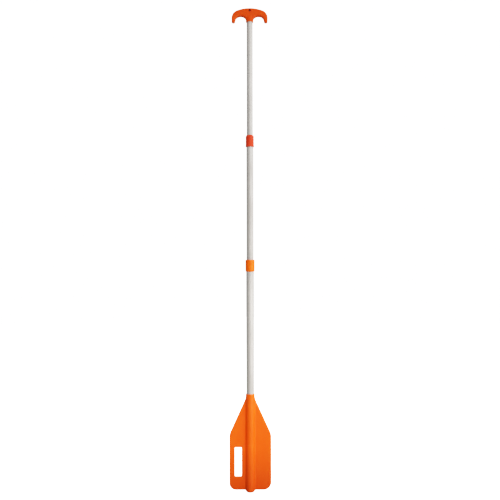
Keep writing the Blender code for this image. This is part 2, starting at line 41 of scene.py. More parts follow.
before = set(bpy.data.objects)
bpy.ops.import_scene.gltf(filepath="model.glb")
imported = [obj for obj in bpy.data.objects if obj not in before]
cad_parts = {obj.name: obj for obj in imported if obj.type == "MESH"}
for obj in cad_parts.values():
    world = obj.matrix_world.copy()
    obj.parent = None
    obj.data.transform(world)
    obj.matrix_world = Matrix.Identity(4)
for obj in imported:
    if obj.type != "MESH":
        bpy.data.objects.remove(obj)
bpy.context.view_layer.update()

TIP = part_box("blade")[0].z
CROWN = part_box("t_handle")[1].z

# Handle
HANDLE_HALF_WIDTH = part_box("t_handle")[1].x
HANDLE_HALF_THICKNESS = 10.5 * MM
HANDLE_EDGE_R = 3.4 * MM
HANDLE_FALL = 0.7 * MM
HANDLE_FALL_WIDTH = 10 * MM
HANDLE_TOP_R = 138 * MM
HANDLE_SHOULDER_R = 31 * MM
HOOK_TIP_R = 6.7 * MM
ARCH_FLATNESS = 0.86
HOOK_Z = CROWN - 46.6 * MM
NECK_Z = CROWN - 51 * MM
NECK_R = 13 * MM
NECK_INSET = 0.4 * MM
NECK_STEP = 1 * MM
NECK_LENGTH = 13 * MM
NECK_BLEND = 3.5 * MM
NECK_FOOT_BLEND = 1 * MM
SOCKET_R = 11.4 * MM
SOCKET_TOP = NECK_Z + 18 * MM
SOCKET_RIM_BLEND = 0.5 * MM
SPIGOT_R = 9.8 * MM
SPIGOT_LENGTH = 56 * MM
HANG_HOLE_R = 3.7 * MM
HANG_HOLE_DRAFT = 0.038
HANG_HOLE_BLEND = 0.6 * MM
HANDLE_RIVET_Z = CROWN - 42 * MM
HANDLE_GRID = (0.9 * MM, 0.8 * MM, 0.8 * MM)
HANDLE_SMOOTHING = 2

# Blade
BLADE_HALF_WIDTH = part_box("blade")[1].x
BLADE_HALF_THICKNESS = 3 * MM
BLADE_EDGE_R = 2.2 * MM
BLADE_FALL = 0.6 * MM
BLADE_FALL_WIDTH = 9 * MM
BLADE_FOOT_Z = TIP + 6.5 * MM
BLADE_SHOULDER_Z = TIP + 217 * MM
BLADE_TAPER_TOP_Z = TIP + 353 * MM
BLADE_SHOULDER_R = 50 * MM
WINDOW_SIDE_CORNER_R = 25 * MM
PLAIN_SIDE_CORNER_R = 29 * MM
SPINE_R = 17 * MM
SPINE_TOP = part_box("blade")[1].z
SPINE_END_R = 6 * MM
SPINE_MOUTH_R = 1.2 * MM
SPINE_BLEND = 5 * MM
SPINE_OVERLAP = 0.8
SPINE_FLOOR = TIP + 8 * MM
SPINE_CORE_R = 12 * MM
TUBE_SEAT = TIP + 180 * MM
SPINE_SOCKET_R = 14.6 * MM
SPINE_MOUTH_BLEND = 1.4 * MM
RING_DEPTH = 0.4 * MM
WINDOW_X = -45.8 * MM
WINDOW_HALF_WIDTH = 13.5 * MM
WINDOW_FOOT_Z = TIP + 57 * MM
WINDOW_TOP_Z = TIP + 168 * MM
WINDOW_MIDDLE_Z = (WINDOW_TOP_Z + WINDOW_FOOT_Z) / 2
WINDOW_HALF_HEIGHT = (WINDOW_TOP_Z - WINDOW_FOOT_Z) / 2
WINDOW_CORNER_R = 3.5 * MM
WINDOW_RIM_BLEND = 1.6 * MM
BLADE_RIVET_Z = TIP + 340 * MM
BLADE_GRID = (1.3 * MM, 1.0 * MM, 1.6 * MM)
BLADE_SMOOTHING = 1

# Tubes and collars
UPPER_TUBE_R = 11.1 * MM
MIDDLE_TUBE_R = 12.7 * MM
LOWER_TUBE_R = 14.3 * MM
TUBE_WALL = 1 * MM
TUBE_RIM_R = 0.3 * MM
BEAD_DEPTH = 0.35 * MM
BEAD_HALF_HEIGHT = 2 * MM
BEAD_OFFSET = 7.5 * MM
BAND_HEIGHT = 5 * MM
LIP_THICKNESS = 3 * MM
GAP = 0.3 * MM
TUBE_CLEARANCE = 0.6 * MM

# Rivets
RIVET_R = 1.6 * MM
RIVET_HEAD_R = 3.4 * MM
RIVET_HEAD_HEIGHT = 1.4 * MM
RIVET_HEAD_CLEARANCE = 0.15 * MM
RIVET_FOOT_ROUND = 0.4 * MM
RIVET_DIMPLE_R = 1.1 * MM
RIVET_DIMPLE_STEP = 0.25 * MM
RIVET_DIMPLE_DEPTH = 0.4 * MM
RIVET_CENTRE_R = 0.01 * MM

# Fineness of the meshes
SIDES = 96
RIVET_SIDES = 48


# Mesh tools


def arc(centre, radius, start, end, steps):
    """Points along an arc from one angle to another, in degrees, with both ends."""
    angles = np.radians(np.linspace(start, end, steps + 1))
    return [(centre[0] + radius * math.cos(a), centre[1] + radius * math.sin(a)) for a in angles]


def add_piece(name, points, faces, body, slot, material, *nodes):
    """A smooth mesh piece that rides on a body and stands for some CAD nodes."""
    mesh = bpy.data.meshes.new(name)
    mesh.from_pydata(points, [], faces)
    mesh.update()
    mesh.shade_smooth()
    mesh.materials.append(material)
    piece = bpy.data.objects.new(name, mesh)
    bpy.context.scene.collection.objects.link(piece)
    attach(piece, body)
    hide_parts(*nodes)
    return piece


def turned(profile, sides=SIDES):
    """Points and faces of a closed outline of (radius, height) points spun about Z."""
    angles = np.linspace(0, math.tau, sides, endpoint=False)
    radii, heights = np.array(profile, float).T
    x = radii[:, None] * np.cos(angles)
    y = radii[:, None] * np.sin(angles)
    z = np.repeat(heights[:, None], sides, axis=1)
    points = np.stack([x, y, z], axis=-1).reshape(-1, 3)
    faces = []
    for row in range(len(profile)):
        here = row * sides
        above = (row + 1) % len(profile) * sides
        for side in range(sides):
            beside = (side + 1) % sides
            faces.append((here + side, here + beside, above + beside, above + side))
    return points, faces


def outline_distance(outline, x, z):
    """Distance to a closed outline in the XZ plane, negative inside it."""
    nearest = np.full(np.broadcast(x, z).shape, np.inf)
    inside = np.zeros(nearest.shape, bool)
    for (ax, az), (bx, bz) in zip(outline, outline[1:] + outline[:1]):
        edge_x, edge_z = bx - ax, bz - az
        from_x, from_z = x - ax, z - az
        share = (from_x * edge_x + from_z * edge_z) / (edge_x ** 2 + edge_z ** 2)
        share = np.clip(share, 0, 1)
        nearest = np.minimum(nearest, (from_x - share * edge_x) ** 2 + (from_z - share * edge_z) ** 2)
        if edge_z:
            inside ^= ((az > z) != (bz > z)) & (from_x < edge_x * from_z / edge_z)
    return np.where(inside, -1, 1) * np.sqrt(nearest)


def smooth_union(a, b, blend):
    """Two fields joined, with a fillet of about the blend's size."""
    share = np.clip(0.5 + 0.5 * (b - a) / blend, 0, 1)
    return b + (a - b) * share - blend * share * (1 - share)


def smooth_cut(body, tool, blend):
    """A field with another cut out of it, with a rounded edge of about the blend's size."""
    return -smooth_union(-body, tool, blend)


def rounded_plate(flat, y, half_thickness, edge_r, fall, fall_width):
    """A plate about y = 0 with rounded edges, whose faces fall a little towards its outline."""
    half = half_thickness - fall * np.clip(1 + flat / fall_width, 0, 1) ** 2
    across = flat + edge_r
    out = np.abs(y) - half + edge_r
    corner = np.hypot(np.maximum(across, 0), np.maximum(out, 0))
    return corner + np.minimum(np.maximum(across, out), 0) - edge_r


def surface_net(field, low, high, step):
    """Points and faces of the surface where the field is zero, inside a box, on a grid of that step."""
    axes = [np.arange(a - 2 * s, b + 3 * s, s) for a, b, s in zip(low, high, step)]
    x, y, z = axes[0][:, None, None], axes[1][None, :, None], axes[2][None, None, :]
    inside = np.broadcast_to(field(x, y, z), [len(a) for a in axes]) < 0
    shape = [len(a) - 1 for a in axes]
    count = np.zeros(shape, int)
    for i in (0, 1):
        for j in (0, 1):
            for k in (0, 1):
                count += inside[i:i + shape[0], j:j + shape[1], k:k + shape[2]]
    mixed = (count > 0) & (count < 8)
    number = np.full(shape, -1)
    number[mixed] = np.arange(mixed.sum())
    cells = np.argwhere(mixed)
    points = np.stack([a[c] + s / 2 for a, c, s in zip(axes, cells.T, step)], axis=1)
    faces = []
    for turn in range(3):
        order = [turn, (turn + 1) % 3, (turn + 2) % 3]
        solid = inside.transpose(order)
        cell = number.transpose(order)
        i, j, k = np.nonzero(solid[:-1, 1:-1, 1:-1] != solid[1:, 1:-1, 1:-1])
        around = [cell[i, j, k], cell[i, j + 1, k], cell[i, j + 1, k + 1], cell[i, j, k + 1]]
        quads = np.stack(around, axis=1)
        leaves = solid[i, j + 1, k + 1]
        faces.append(np.where(leaves[:, None], quads, quads[:, ::-1]))
    return points, np.concatenate(faces)


def pull_to_surface(field, points, reach, rounds):
    """Move points down the field's slope until they lie where it is zero, but never further than reach."""
    nudge = 0.02 * MM
    start = points.copy()
    for _ in range(rounds):
        x, y, z = points.T
        value = field(x, y, z)
        slope = np.stack([
            field(x + nudge, y, z) - value,
            field(x, y + nudge, z) - value,
            field(x, y, z + nudge) - value,
        ], axis=1) / nudge
        square = np.maximum((slope ** 2).sum(axis=1), 0.05)
        points = points - (value / square)[:, None] * slope
        points = start + np.clip(points - start, -reach, reach)
    return points


def relaxed(points, faces, rounds):
    """Points moved towards the mean of their neighbours, a few times over."""
    ends = np.concatenate([faces[:, [0, 1]], faces[:, [1, 2]], faces[:, [2, 3]], faces[:, [3, 0]]])
    ends = np.concatenate([ends, ends[:, ::-1]])
    neighbours = np.bincount(ends[:, 0], minlength=len(points))[:, None]
    for _ in range(rounds):
        sums = [np.bincount(ends[:, 0], points[ends[:, 1], axis], len(points)) for axis in range(3)]
        points = 0.5 * points + 0.5 * np.stack(sums, axis=1) / neighbours
    return points


def moulded(field, low, high, step, smoothing):
    """Points and faces of a moulding, from its field. The smoothing softens creases on the surface."""
    points, faces = surface_net(field, low, high, step)
    reach = 1.5 * np.array(step)
    points = pull_to_surface(field, points, reach, 3)
    points = relaxed(points, faces, 2)
    points = pull_to_surface(field, points, reach, 2)
    points = relaxed(points, faces, smoothing)
    return np.clip(points, low, high), faces.tolist()


# Handle


def handle_outline():
    """The handle's outline, from the top of the crown round to the neck, and back up the other side."""
    crown_centre = CROWN - HANDLE_TOP_R
    shoulder_x = HANDLE_HALF_WIDTH - HANDLE_SHOULDER_R
    reach = HANDLE_TOP_R - HANDLE_SHOULDER_R
    shoulder_z = crown_centre + math.sqrt(reach ** 2 - shoulder_x ** 2)
    meeting = math.degrees(math.asin((shoulder_z - crown_centre) / reach))
    tip_x = HANDLE_HALF_WIDTH - HOOK_TIP_R
    neck_x = NECK_R - NECK_INSET
    arch_r = (tip_x - HOOK_TIP_R - neck_x) / 2
    crown = arc((0, crown_centre), HANDLE_TOP_R, 90, meeting, 12)
    shoulder = arc((shoulder_x, shoulder_z), HANDLE_SHOULDER_R, meeting, 0, 12)
    tip = arc((tip_x, HOOK_Z), HOOK_TIP_R, 0, -180, 14)
    arch = [(x, HOOK_Z + ARCH_FLATNESS * z) for x, z in arc((neck_x + arch_r, 0), arch_r, 0, 180, 26)]
    right = crown + shoulder[1:] + tip[1:] + arch[1:] + [(neck_x, NECK_Z + NECK_STEP)]
    return right + [(-x, z) for x, z in reversed(right[1:])]


HANDLE_OUTLINE = handle_outline()


def handle_field(x, y, z):
    """The handle: a plate with hooks, a round neck with a domed top, and a spigot in its socket."""
    flat = outline_distance(HANDLE_OUTLINE, x, z)
    plate = rounded_plate(flat, y, HANDLE_HALF_THICKNESS, HANDLE_EDGE_R, HANDLE_FALL, HANDLE_FALL_WIDTH)
    radius = np.hypot(x, y)
    dome = np.hypot(radius, np.maximum(z - NECK_Z - NECK_LENGTH, 0)) - NECK_R
    neck = -smooth_union(-dome, z - NECK_Z, NECK_FOOT_BLEND)
    body = smooth_union(plate, neck, NECK_BLEND)
    body = smooth_cut(body, np.maximum(radius - SOCKET_R, z - SOCKET_TOP), SOCKET_RIM_BLEND)
    hang_hole = np.hypot(x, z) - HANG_HOLE_R + HANG_HOLE_DRAFT * y
    body = smooth_cut(body, hang_hole, HANG_HOLE_BLEND)
    spigot = np.maximum(radius - SPIGOT_R, np.abs(z - SOCKET_TOP + SPIGOT_LENGTH / 2) - SPIGOT_LENGTH / 2)
    return np.minimum(body, spigot)


def make_handle(material):
    low, high = (np.array(corner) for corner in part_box("t_handle"))
    points, faces = moulded(handle_field, low, high, HANDLE_GRID, HANDLE_SMOOTHING)
    return add_piece("handle_moulding", points, faces, "grip_section", "handle_orange", material, "t_handle")


# Blade


def blade_side(corner_r):
    """One side of the blade's outline, from the middle of its foot up into the spine."""
    slope = (BLADE_HALF_WIDTH - SPINE_R) / (BLADE_TAPER_TOP_Z - BLADE_SHOULDER_Z)
    lean = math.degrees(math.atan(slope))
    shoulder_start = BLADE_SHOULDER_Z - BLADE_SHOULDER_R * math.tan(math.radians(lean / 2))
    corner = arc((BLADE_HALF_WIDTH - corner_r, BLADE_FOOT_Z + corner_r), corner_r, -90, 0, 12)
    shoulder = arc((BLADE_HALF_WIDTH - BLADE_SHOULDER_R, shoulder_start), BLADE_SHOULDER_R, 0, lean, 10)
    inside_x = SPINE_R * SPINE_OVERLAP
    return corner + shoulder + [(inside_x, BLADE_TAPER_TOP_Z + (SPINE_R - inside_x) / slope)]


def blade_outline():
    left = [(-x, z) for x, z in reversed(blade_side(WINDOW_SIDE_CORNER_R))]
    return blade_side(PLAIN_SIDE_CORNER_R) + left


BLADE_OUTLINE = blade_outline()


def spine_radius(z):
    """The spine's radius up its length, with a faint ring and two faint grooves near its tube."""
    seat_ring = np.exp(-((z - TUBE_SEAT) / (1.8 * MM)) ** 2)
    seat_groove = np.exp(-((z - TUBE_SEAT + 5 * MM) / (1.9 * MM)) ** 2)
    rivet_ring = np.exp(-((z - BLADE_RIVET_Z + 9 * MM) / (2 * MM)) ** 2)
    return SPINE_R - RING_DEPTH * (1 - seat_ring + 1.4 * seat_groove + 0.7 * rivet_ring)


def blade_field(x, y, z):
    """The blade: a thin plate through a hollow spine, with the hand hold cut in one side."""
    flat = outline_distance(BLADE_OUTLINE, x, z)
    plate = rounded_plate(flat, y, BLADE_HALF_THICKNESS, BLADE_EDGE_R, BLADE_FALL, BLADE_FALL_WIDTH)
    radius = np.hypot(x, y)
    end_r = np.where(z < TUBE_SEAT, SPINE_END_R, SPINE_MOUTH_R)
    outwards = radius - spine_radius(z)
    endwards = np.abs(z - (SPINE_TOP + TIP) / 2) - (SPINE_TOP - TIP) / 2
    out = np.maximum(outwards + end_r, 0)
    past = np.maximum(endwards + end_r, 0)
    inner = np.maximum(outwards, endwards)
    spine = np.where((out > 0) | (past > 0), np.hypot(out, past) - end_r, np.minimum(inner, -end_r))
    body = smooth_union(plate, spine, SPINE_BLEND)
    window_x = np.abs(x - WINDOW_X) - WINDOW_HALF_WIDTH + WINDOW_CORNER_R
    window_z = np.abs(z - WINDOW_MIDDLE_Z) - WINDOW_HALF_HEIGHT + WINDOW_CORNER_R
    window = np.hypot(np.maximum(window_x, 0), np.maximum(window_z, 0))
    window = window + np.minimum(np.maximum(window_x, window_z), 0)
    body = smooth_cut(body, window - WINDOW_CORNER_R, WINDOW_RIM_BLEND)
    core = np.maximum(radius - SPINE_CORE_R, SPINE_FLOOR - z)
    socket = np.maximum(radius - SPINE_SOCKET_R, TUBE_SEAT - z)
    return smooth_cut(body, np.minimum(core, socket), SPINE_MOUTH_BLEND)


def make_blade(material):
    low, high = (np.array(corner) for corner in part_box("blade"))
    points, faces = moulded(blade_field, low, high, BLADE_GRID, BLADE_SMOOTHING)
    return add_piece("blade_moulding", points, faces, "blade_section", "blade_orange", material, "blade")


# Tubes, collars and rivets


def bead_points(radius, height, steps=12):
    """The rolled bead's points up a wall of the given radius."""
    share = np.linspace(-1, 1, steps + 1)
    depth = BEAD_DEPTH * (1 + np.cos(math.pi * share)) / 2
    return list(zip(radius - depth, height + BEAD_HALF_HEIGHT * share))


def tube_profile(outer_r, foot, top, bead=None):
    """A drawn tube's wall with rounded rims, and a rolled bead where it has one."""
    inner_r = outer_r - TUBE_WALL
    middle_r = outer_r - TUBE_WALL / 2
    outside = bead_points(outer_r, bead) if bead else []
    inside = bead_points(inner_r, bead)[::-1] if bead else []
    corners = [
        arc((outer_r - TUBE_RIM_R, foot + TUBE_RIM_R), TUBE_RIM_R, -90, 0, 4),
        outside,
        arc((outer_r - TUBE_RIM_R, top - TUBE_RIM_R), TUBE_RIM_R, 0, 90, 4),
        [(middle_r, top)],
        arc((inner_r + TUBE_RIM_R, top - TUBE_RIM_R), TUBE_RIM_R, 90, 180, 4),
        inside,
        arc((inner_r + TUBE_RIM_R, foot + TUBE_RIM_R), TUBE_RIM_R, 180, 270, 4),
        [(middle_r, foot)],
    ]
    return [point for corner in corners for point in corner]


def make_tube(node, outer_r, body, material, collar=None):
    low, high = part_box(node)
    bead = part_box(collar)[0].z + BEAD_OFFSET if collar else None
    points, faces = turned(tube_profile(outer_r, low.z, high.z, bead))
    return add_piece(f"{node}_drawn", points, faces, body, "anodised_aluminium", material, node)


def rounded_rim(outer_r, corner_r, hole_r, steps=14):
    """A quarter round from the hole's edge, at height 0, down to the side, as (radius, height)."""
    centre_r = outer_r - corner_r
    start = math.degrees(math.acos(min(1.0, max(0.0, (hole_r - centre_r) / corner_r))))
    rim = arc((centre_r, 0), corner_r, start, 0, steps)
    return [(radius, height - rim[0][1]) for radius, height in rim]


def collar_profile(node, collar_r, inner_r, outer_r, top_round, foot_round, band):
    """A collar from its foot up the outside, in over its lip, and down its bore."""
    low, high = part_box(node)
    hole_r = inner_r + TUBE_CLEARANCE
    bore_r = outer_r + GAP
    foot_rim = rounded_rim(collar_r + band, foot_round, bore_r)
    top_rim = rounded_rim(collar_r, top_round, hole_r)
    profile = [(radius, low.z - height) for radius, height in foot_rim]
    if band:
        step_z = low.z + BAND_HEIGHT
        profile += arc((collar_r + band / 2, step_z - band / 2), band / 2, 0, 90, 4)
        profile += arc((collar_r + band / 2, step_z + band / 2), band / 2, 270, 180, 4)
    profile += [(radius, high.z + height) for radius, height in reversed(top_rim)]
    profile += [(hole_r, high.z - LIP_THICKNESS), (bore_r, high.z - LIP_THICKNESS)]
    bead = [(radius + GAP, height) for radius, height in bead_points(outer_r, low.z + BEAD_OFFSET)]
    return profile + bead[::-1] + [(bore_r, low.z + GAP)]


def make_collar(node, body, slot, material, **sizes):
    points, faces = turned(collar_profile(node, **sizes))
    return add_piece(f"{node}_moulding", points, faces, body, slot, material, node)


def make_rivet(node, height, body, material):
    """A rivet laid along Y, with a low domed head at the back and a dimple where it was set."""
    low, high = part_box(node)
    seat = high.y - RIVET_HEAD_HEIGHT
    foot = low.y
    profile = [(RIVET_CENTRE_R, foot)]
    profile += arc((RIVET_R - RIVET_FOOT_ROUND, foot + RIVET_FOOT_ROUND), RIVET_FOOT_ROUND, -90, 0, 4)
    profile += [(RIVET_R, seat), (RIVET_HEAD_R - RIVET_HEAD_CLEARANCE, seat)]
    for angle in np.radians(np.linspace(5, 80, 12)):
        profile.append((RIVET_HEAD_R * math.cos(angle), seat + RIVET_HEAD_HEIGHT * math.sin(angle)))
    profile[-1] = (RIVET_DIMPLE_R, high.y)
    profile.append((RIVET_DIMPLE_R * 0.8, high.y - RIVET_DIMPLE_STEP))
    profile.append((RIVET_CENTRE_R, high.y - RIVET_DIMPLE_DEPTH))
    points, faces = turned(profile, RIVET_SIDES)
    points = np.stack([points[:, 0], points[:, 2], height - points[:, 1]], axis=1)
    return add_piece(f"{node}_head", points, faces, body, "steel", material, node)


# Materials

HANDLE_COLOURS = (0.64, 0.085, 0.0, 1), (0.61, 0.078, 0.0, 1), (0.9, 0.22, 0.05, 1)
HANDLE_IOR = 1.38
# Painted shade in and around the hang hole: the colour darkens near the hole's axis.
HOLE_PAINTED_SHADE = 4 * MM, 5.6 * MM, (0.46, 0.036, 0.0, 1)
BLADE_COLOURS = (0.93, 0.138, 0.002, 1), (0.9, 0.127, 0.001, 1), (0.95, 0.27, 0.06, 1)
BLADE_IOR = 1.48
# Painted shade towards the blade's foot: the colour deepens from well above the tip down to it.
BLADE_FOOT_SHADE = TIP - 10 * MM, TIP + 185 * MM, (0.55, 0.073, 0.0, 1)
UPPER_COLLAR_COLOURS = (0.64, 0.078, 0.03, 1), (0.61, 0.07, 0.026, 1), (0.8, 0.2, 0.12, 1)
UPPER_COLLAR_IOR = 1.36
LOWER_COLLAR_COLOURS = (0.88, 0.16, 0.004, 1), (0.85, 0.148, 0.003, 1), (0.95, 0.3, 0.09, 1)
LOWER_COLLAR_IOR = 1.38
TUBE_LIGHT = (0.63, 0.612, 0.588, 1)
TUBE_DARK = (0.6, 0.58, 0.555, 1)
TUBE_BANDS = (0.56, 0.542, 0.518, 1)
TUBE_RUBS = (0.68, 0.672, 0.658, 1)
SCRATCH_STRETCH = 30
SCRATCH_WIDTH = 0.012


class Shader:
    """A material's node tree, with a short way to add a node and join it to others."""

    def __init__(self, name):
        self.material = bpy.data.materials.new(name)
        self.material.use_nodes = True
        self.tree = self.material.node_tree
        self.surface = self.tree.nodes["Principled BSDF"]
        self.place = self.add("ShaderNodeTexCoord").outputs["Object"]

    def add(self, kind, inputs=None, **settings):
        node = self.tree.nodes.new(kind)
        for key, value in settings.items():
            setattr(node, key, value)
        for key, value in (inputs or {}).items():
            self.join(value, node.inputs[key])
        return node

    def join(self, value, socket):
        if isinstance(value, bpy.types.NodeSocket):
            self.tree.links.new(value, socket)
        else:
            socket.default_value = value

    def stretched(self, x, y, z):
        """The piece's own coordinates, scaled along each axis."""
        return self.scaled(self.place, (x, y, z))

    def scaled(self, vector, scale):
        node = self.add("ShaderNodeVectorMath", {0: vector, 1: scale}, operation="MULTIPLY")
        return node.outputs[0]

    def noise(self, vector, scale, detail=3.0, rough=0.5):
        inputs = {"Vector": vector, "Scale": scale, "Detail": detail, "Roughness": rough}
        return self.add("ShaderNodeTexNoise", inputs).outputs["Fac"]

    def scratches(self, lean, count):
        """Thin scratches that lean from Z towards X, as a mask: where a long noise crosses its middle."""
        inputs = {"Vector": self.place, "Angle": lean}
        leaning = self.add("ShaderNodeVectorRotate", inputs, rotation_type="Y_AXIS").outputs[0]
        across = count * SCRATCH_STRETCH
        value = self.noise(self.scaled(leaning, (across, across, count)), 1.0, 2.0, 0.6)
        off_middle = self.maths("ABSOLUTE", self.maths("SUBTRACT", value, 0.5))
        return self.ramp(off_middle, 0.0, SCRATCH_WIDTH, 1.0, 0.0)

    def ramp(self, value, low, high, out_low=0.0, out_high=1.0):
        """The value taken from one range to another, and held to it."""
        inputs = {"Value": value, "From Min": low, "From Max": high, "To Min": out_low, "To Max": out_high}
        return self.add("ShaderNodeMapRange", inputs).outputs[0]

    def mix(self, share, a, b):
        node = self.add("ShaderNodeMix", data_type="RGBA")
        for value, socket in zip((share, a, b), (node.inputs[0], node.inputs[6], node.inputs[7])):
            self.join(value, socket)
        return node.outputs[2]

    def maths(self, operation, a, b=0.0):
        return self.add("ShaderNodeMath", {0: a, 1: b}, operation=operation).outputs[0]

    def bump(self, height, strength, distance, normal=None):
        inputs = {"Height": height, "Strength": strength, "Distance": distance}
        if normal:
            inputs["Normal"] = normal
        return self.add("ShaderNodeBump", inputs).outputs["Normal"]

    def set(self, **inputs):
        for key, value in inputs.items():
            self.join(value, self.surface.inputs[key.replace("_", " ")])


def colour(red, green, blue):
    """A colour given as it shows on a screen, from 0 to 255, as the linear one that shaders take."""
    shown = (np.array([red, green, blue]) / 255 + 0.055) / 1.055
    return (*(shown ** 2.4), 1.0)


def orange_moulding(name, colours, ior, foot_shade=None, hole_shade=None):
    """Satin moulded plastic: fine grain, slow flow in its colour, scratches, and paler rubbed edges.

    The colours are the main one, a deeper one and the worn one.
    Foot shade is painted shade towards the blade's foot: the height where its colour is full, the height
    where it begins, and that colour.
    Hole shade is the same for painted shade in and around a hole along Y at the origin, with distances from
    its axis.
    """
    main, deep, worn = colours
    s = Shader(name)
    flow = s.noise(s.stretched(18, 18, 7), 1.0, 3.0, 0.55)
    grain = s.noise(s.place, 1100, 2.0, 0.6)
    dimple = s.noise(s.place, 300, 2.0, 0.5)
    scuff = s.noise(s.place, 120, 5.0, 0.7)
    patches = s.ramp(s.noise(s.place, 14, 2.0, 0.5), 0.42, 0.62)
    scratches = s.maths("MAXIMUM", s.scratches(0.5, 9), s.scratches(-0.9, 14))
    marks = s.maths("MULTIPLY", scratches, patches)
    edge = s.add("ShaderNodeNewGeometry").outputs["Pointiness"]
    rubbed = s.maths("MULTIPLY", s.ramp(edge, 0.505, 0.54), s.ramp(scuff, 0.4, 0.62))
    tint = s.mix(s.ramp(flow, 0.3, 0.7), main, deep)
    # Painted shade: the colour deepens towards the foot, unevenly along the flow.
    if foot_shade:
        full, begins, foot_shade_colour = foot_shade
        height = s.add("ShaderNodeSeparateXYZ", {0: s.place}).outputs["Z"]
        uneven = s.maths("ADD", height, s.maths("MULTIPLY", flow, 30 * MM))
        tint = s.mix(s.ramp(uneven, full, begins, 1, 0), tint, foot_shade_colour)
    tint = s.mix(s.ramp(grain, 0.35, 0.65, 0, 0.06), tint, deep)
    tint = s.mix(s.maths("MULTIPLY", rubbed, 0.55), tint, worn)
    tint = s.mix(s.maths("MULTIPLY", marks, 0.26), tint, worn)
    # Painted shade in and around the hang hole, darkest near its axis.
    if hole_shade:
        full, ends, hole_shade_colour = hole_shade
        off_axis = s.add("ShaderNodeVectorMath", {0: s.stretched(1, 0, 1)}, operation="LENGTH")
        tint = s.mix(s.ramp(off_axis.outputs["Value"], full, ends, 1, 0), tint, hole_shade_colour)
    rough = s.maths("ADD", s.ramp(dimple, 0.3, 0.7, 0.44, 0.56), s.maths("MULTIPLY", marks, 0.15))
    rough = s.maths("SUBTRACT", rough, s.maths("MULTIPLY", rubbed, 0.08))
    relief = s.bump(dimple, 0.3, 0.2 * MM)
    relief = s.bump(grain, 0.5, 0.08 * MM, relief)
    relief = s.bump(marks, 0.3, -0.06 * MM, relief)
    s.set(Base_Color=tint, Roughness=rough, Normal=relief, IOR=ior)
    s.set(Subsurface_Weight=0.15, Subsurface_Radius=(1.0, 0.25, 0.05), Subsurface_Scale=3 * MM)
    return s.material


def drawn_aluminium():
    """Satin anodised tube: lengthwise draw lines, soft smudges, and long rub marks from sliding."""
    s = Shader("anodised tube")
    lines = s.noise(s.stretched(2200, 2200, 16), 1.0, 3.0, 0.65)
    bands = s.noise(s.stretched(600, 600, 2), 1.0, 2.0, 0.5)
    smudge = s.noise(s.stretched(28, 28, 9), 1.0, 4.0, 0.6)
    speckle = s.noise(s.place, 1800, 2.0, 0.6)
    rubs = s.ramp(s.noise(s.stretched(520, 520, 6), 1.0, 4.0, 0.75), 0.6, 0.7)
    tint = s.mix(s.ramp(smudge, 0.35, 0.65), TUBE_LIGHT, TUBE_DARK)
    tint = s.mix(s.ramp(bands, 0.35, 0.65, 0, 0.3), tint, TUBE_BANDS)
    tint = s.mix(s.maths("MULTIPLY", rubs, 0.4), tint, TUBE_RUBS)
    rough = s.maths("ADD", s.ramp(smudge, 0.35, 0.65, 0.76, 0.84), s.ramp(lines, 0.3, 0.7, -0.05, 0.05))
    rough = s.maths("SUBTRACT", rough, s.maths("MULTIPLY", rubs, 0.14))
    relief = s.bump(lines, 0.3, 0.02 * MM)
    relief = s.bump(bands, 0.2, 0.03 * MM, relief)
    relief = s.bump(speckle, 0.1, 0.01 * MM, relief)
    s.set(Base_Color=tint, Roughness=rough, Normal=relief, Metallic=1.0)
    return s.material


def moulded_resin(name, main, other, low_rough, high_rough):
    """Plain moulded resin for the parts inside: slow mottling, fine grain and light rubs."""
    s = Shader(name)
    mottle = s.noise(s.place, 90, 3.0, 0.5)
    grain = s.noise(s.place, 1600, 2.0, 0.6)
    rubs = s.ramp(s.noise(s.stretched(900, 900, 60), 1.0, 3.0, 0.6), 0.58, 0.7)
    tint = s.mix(s.ramp(mottle, 0.3, 0.7), main, other)
    rough = s.ramp(mottle, 0.3, 0.7, low_rough, high_rough)
    rough = s.maths("SUBTRACT", rough, s.maths("MULTIPLY", rubs, 0.1))
    s.set(Base_Color=tint, Roughness=rough, Normal=s.bump(grain, 0.3, 0.03 * MM))
    return s.material


def closed_cell_foam():
    """Dark foam with fine cells."""
    s = Shader("bung foam")
    cells = s.add("ShaderNodeTexVoronoi", {"Vector": s.place, "Scale": 900}).outputs["Distance"]
    mottle = s.noise(s.place, 150, 3.0, 0.5)
    tint = s.mix(s.ramp(mottle, 0.3, 0.7), colour(60, 60, 62), colour(46, 46, 49))
    rough = s.ramp(cells, 0, 0.8, 0.95, 0.8)
    s.set(Base_Color=tint, Roughness=rough, Normal=s.bump(cells, 0.6, 0.2 * MM))
    return s.material


def brushed_steel():
    """Stainless steel with fine turning marks and fingerprints."""
    s = Shader("stainless steel")
    turning = s.noise(s.stretched(400, 9000, 400), 1.0, 2.0, 0.5)
    print_marks = s.noise(s.place, 500, 3.0, 0.6)
    tint = s.mix(s.ramp(print_marks, 0.3, 0.7), colour(205, 204, 202), colour(184, 182, 179))
    rough = s.ramp(print_marks, 0.3, 0.7, 0.24, 0.38)
    s.set(Base_Color=tint, Roughness=rough, Normal=s.bump(turning, 0.15, 0.02 * MM), Metallic=1.0)
    return s.material


def dress_inner_parts(resin, black, foam, steel):
    """Give the CAD nodes that stay their materials, by the ends of their names."""
    looks = {
        "_lock_plug": black,
        "_lock_cam": black,
        "_guide_ring": resin,
        "_collar_bush": resin,
        "_tube_bung": foam,
        "_plug_pin": steel,
        "_cam_washer": steel,
        "_cam_screw": steel,
    }
    for name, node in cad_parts.items():
        for ending, material in looks.items():
            if name.endswith(ending):
                for slot in node.material_slots:
                    slot.material = material


# Studio

